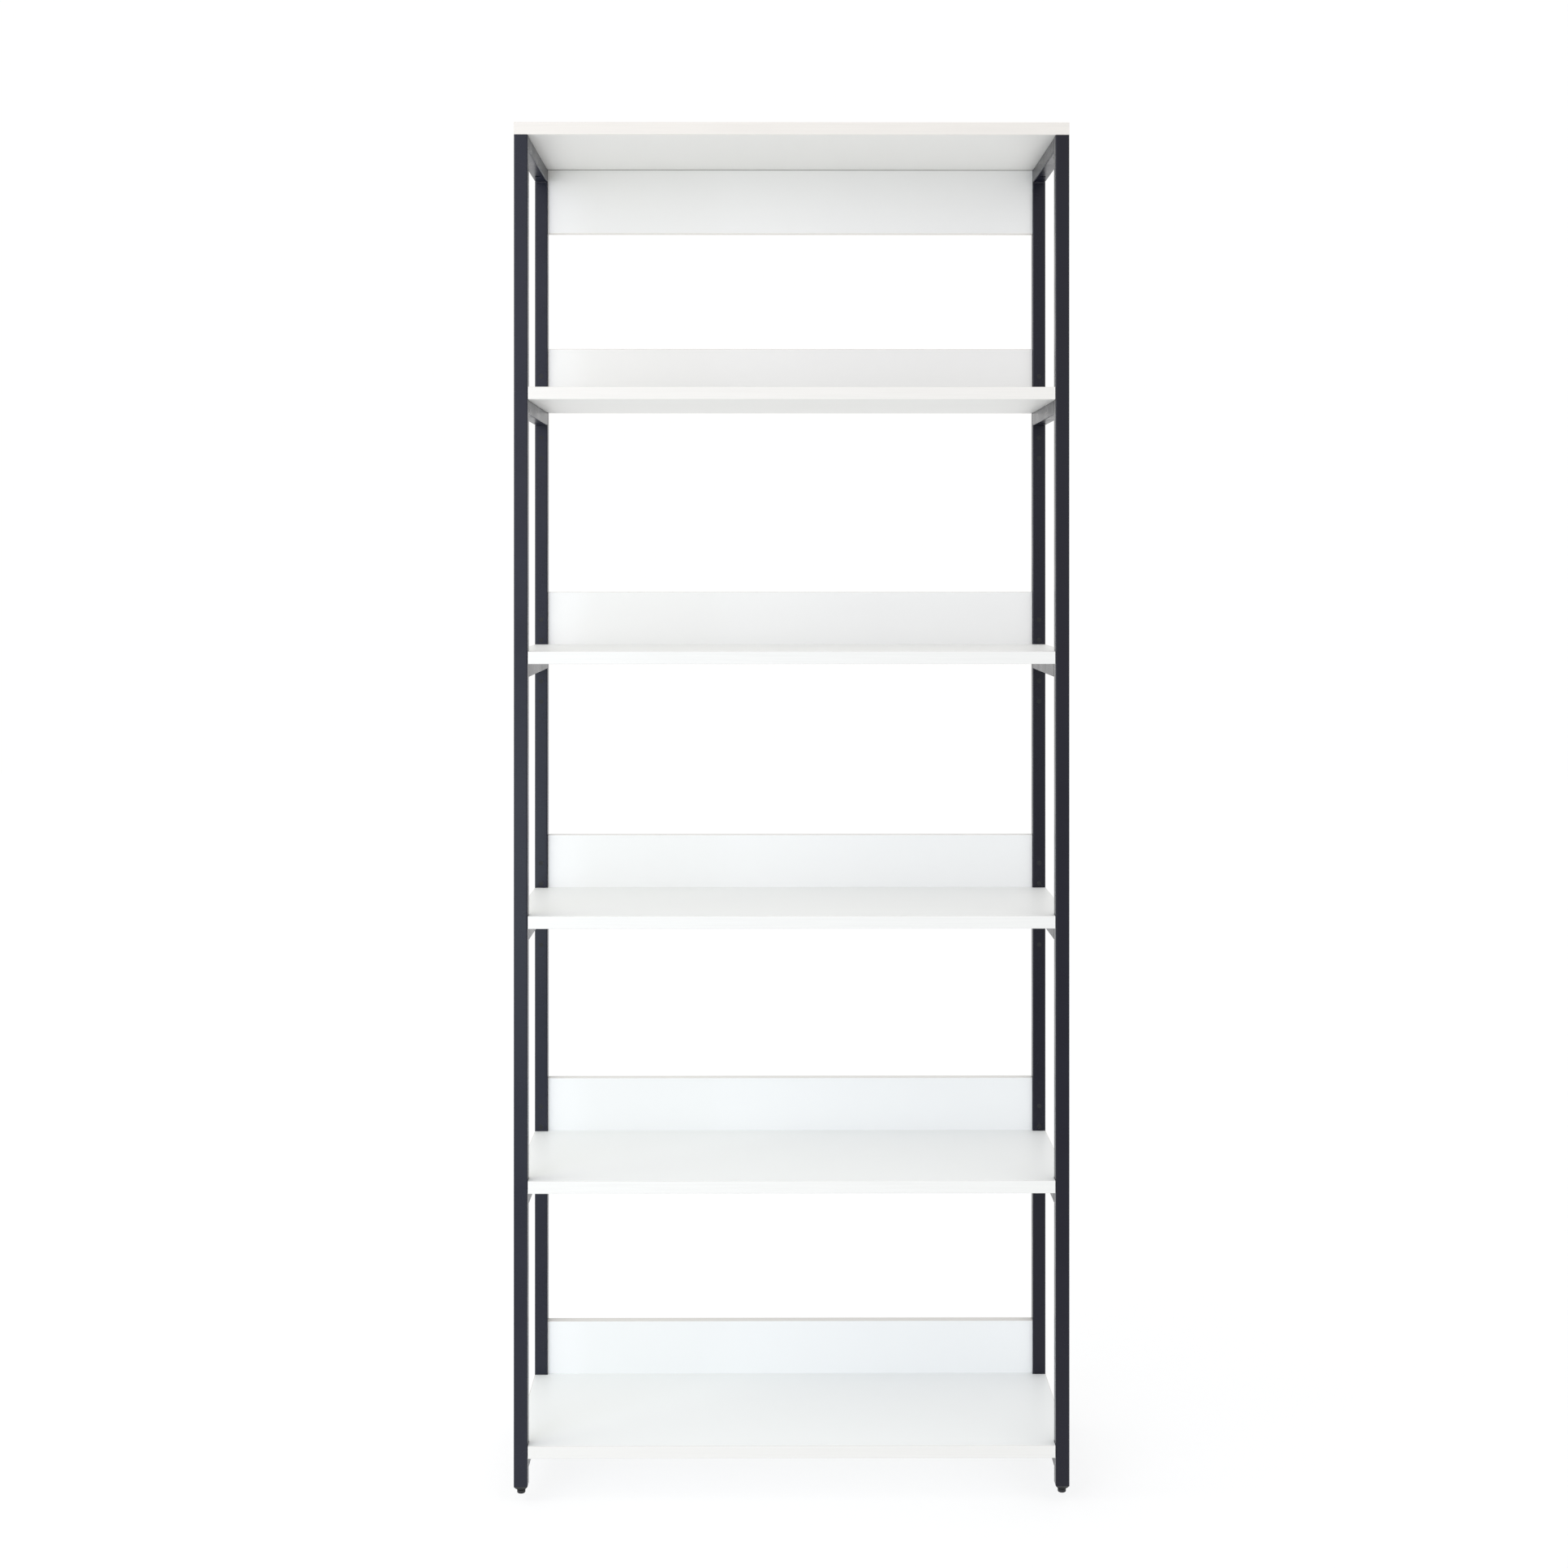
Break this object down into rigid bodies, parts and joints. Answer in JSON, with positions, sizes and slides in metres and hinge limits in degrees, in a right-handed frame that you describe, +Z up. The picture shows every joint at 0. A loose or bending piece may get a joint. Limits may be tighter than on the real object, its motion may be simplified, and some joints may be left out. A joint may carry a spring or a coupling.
{
  "type": "bookcase with adjustable shelves",
  "caption": "Tall open bookcase: white boards with low back panels on a charcoal square-tube steel frame; shelves lift off support pins, feet screw out to level.",
  "frame": {"origin": "on the floor, under the middle of the bookcase", "axes": "+X to the viewer's right along the shelves, the open front faces -Y, +Z up"},
  "size_m": [0.8, 0.3, 1.975],
  "materials": {
    "frame_steel": "fine textured charcoal powder coat, semi-matt",
    "white_melamine": "white melamine-faced particleboard, satin",
    "white_edge_band": "white moulded edge band, satin",
    "zinc_steel": "bright zinc plated",
    "black_zinc_steel": "black passivated zinc plate, satin",
    "black_nylon": "moulded black nylon, satin"
  },
  "bodies": {
    "frame": {"post_front_left": "frame_steel", "post_front_right": "frame_steel", "post_rear_left": "frame_steel", "post_rear_right": "frame_steel", "top_rail_left": "frame_steel", "bottom_rail_left": "frame_steel", "top_rail_right": "frame_steel", "bottom_rail_right": "frame_steel", "shelf_support_pins": "zinc_steel", "spare_hole_plugs": "black_nylon", "access_hole_plugs": "black_nylon", "back_panel_end_screws": "zinc_steel", "foot_inserts": "black_nylon", "top_panel_board": "white_melamine", "top_panel_edge_bands": "white_edge_band", "top_back_panel": "white_melamine", "top_panel_screws": "zinc_steel", "bottom_shelf_board": "white_melamine", "bottom_shelf_edge_bands": "white_edge_band", "bottom_back_panel": "white_melamine", "bottom_shelf_screws": "zinc_steel"},
    "shelf_2": {"shelf_2_board": "white_melamine", "shelf_2_edge_bands": "white_edge_band", "shelf_2_back_panel": "white_melamine", "shelf_2_rail_left": "frame_steel", "shelf_2_rail_right": "frame_steel", "shelf_2_screws": "zinc_steel"},
    "shelf_3": {"shelf_3_board": "white_melamine", "shelf_3_edge_bands": "white_edge_band", "shelf_3_back_panel": "white_melamine", "shelf_3_rail_left": "frame_steel", "shelf_3_rail_right": "frame_steel", "shelf_3_screws": "zinc_steel"},
    "shelf_4": {"shelf_4_board": "white_melamine", "shelf_4_edge_bands": "white_edge_band", "shelf_4_back_panel": "white_melamine", "shelf_4_rail_left": "frame_steel", "shelf_4_rail_right": "frame_steel", "shelf_4_screws": "zinc_steel"},
    "shelf_5": {"shelf_5_board": "white_melamine", "shelf_5_edge_bands": "white_edge_band", "shelf_5_back_panel": "white_melamine", "shelf_5_rail_left": "frame_steel", "shelf_5_rail_right": "frame_steel", "shelf_5_screws": "zinc_steel"},
    "foot_front_left_pad": {"foot_pad_front_left": "black_nylon"},
    "foot_front_left_stud": {"foot_stud_front_left": "black_zinc_steel"},
    "foot_front_right_pad": {"foot_pad_front_right": "black_nylon"},
    "foot_front_right_stud": {"foot_stud_front_right": "black_zinc_steel"},
    "foot_rear_left_pad": {"foot_pad_rear_left": "black_nylon"},
    "foot_rear_left_stud": {"foot_stud_rear_left": "black_zinc_steel"},
    "foot_rear_right_pad": {"foot_pad_rear_right": "black_nylon"},
    "foot_rear_right_stud": {"foot_stud_rear_right": "black_zinc_steel"}
  },
  "joints": [
    {"name": "shelf_2_lift", "type": "slide", "parent": "frame", "child": "shelf_2", "axis": [0, 0, 1], "range_m": [0, 0.28]},
    {"name": "shelf_3_lift", "type": "slide", "parent": "frame", "child": "shelf_3", "axis": [0, 0, 1], "range_m": [0, 0.28]},
    {"name": "shelf_4_lift", "type": "slide", "parent": "frame", "child": "shelf_4", "axis": [0, 0, 1], "range_m": [0, 0.28]},
    {"name": "shelf_5_lift", "type": "slide", "parent": "frame", "child": "shelf_5", "axis": [0, 0, 1], "range_m": [0, 0.18]},
    {"name": "foot_front_left_travel", "type": "slide", "parent": "frame", "child": "foot_front_left_pad", "axis": [0, 0, -1], "range_m": [0, 0.01]},
    {"name": "foot_front_left_turn", "type": "hinge", "parent": "foot_front_left_pad", "child": "foot_front_left_stud", "pos_m": [-0.39, -0.14, 0.006], "axis": [0, 0, -1], "range_deg": [0, 3600]},
    {"name": "foot_front_right_travel", "type": "slide", "parent": "frame", "child": "foot_front_right_pad", "axis": [0, 0, -1], "range_m": [0, 0.01]},
    {"name": "foot_front_right_turn", "type": "hinge", "parent": "foot_front_right_pad", "child": "foot_front_right_stud", "pos_m": [0.39, -0.14, 0.006], "axis": [0, 0, -1], "range_deg": [0, 3600]},
    {"name": "foot_rear_left_travel", "type": "slide", "parent": "frame", "child": "foot_rear_left_pad", "axis": [0, 0, -1], "range_m": [0, 0.01]},
    {"name": "foot_rear_left_turn", "type": "hinge", "parent": "foot_rear_left_pad", "child": "foot_rear_left_stud", "pos_m": [-0.39, 0.14, 0.006], "axis": [0, 0, -1], "range_deg": [0, 3600]},
    {"name": "foot_rear_right_travel", "type": "slide", "parent": "frame", "child": "foot_rear_right_pad", "axis": [0, 0, -1], "range_m": [0, 0.01]},
    {"name": "foot_rear_right_turn", "type": "hinge", "parent": "foot_rear_right_pad", "child": "foot_rear_right_stud", "pos_m": [0.39, 0.14, 0.006], "axis": [0, 0, -1], "range_deg": [0, 3600]}
  ],
  "couplings": [
    {"joint": "foot_front_left_turn", "follows": "foot_front_left_travel", "rad_per_m": 6283.2},
    {"joint": "foot_front_right_turn", "follows": "foot_front_right_travel", "rad_per_m": 6283.2},
    {"joint": "foot_rear_left_turn", "follows": "foot_rear_left_travel", "rad_per_m": 6283.2},
    {"joint": "foot_rear_right_turn", "follows": "foot_rear_right_travel", "rad_per_m": 6283.2}
  ]
}
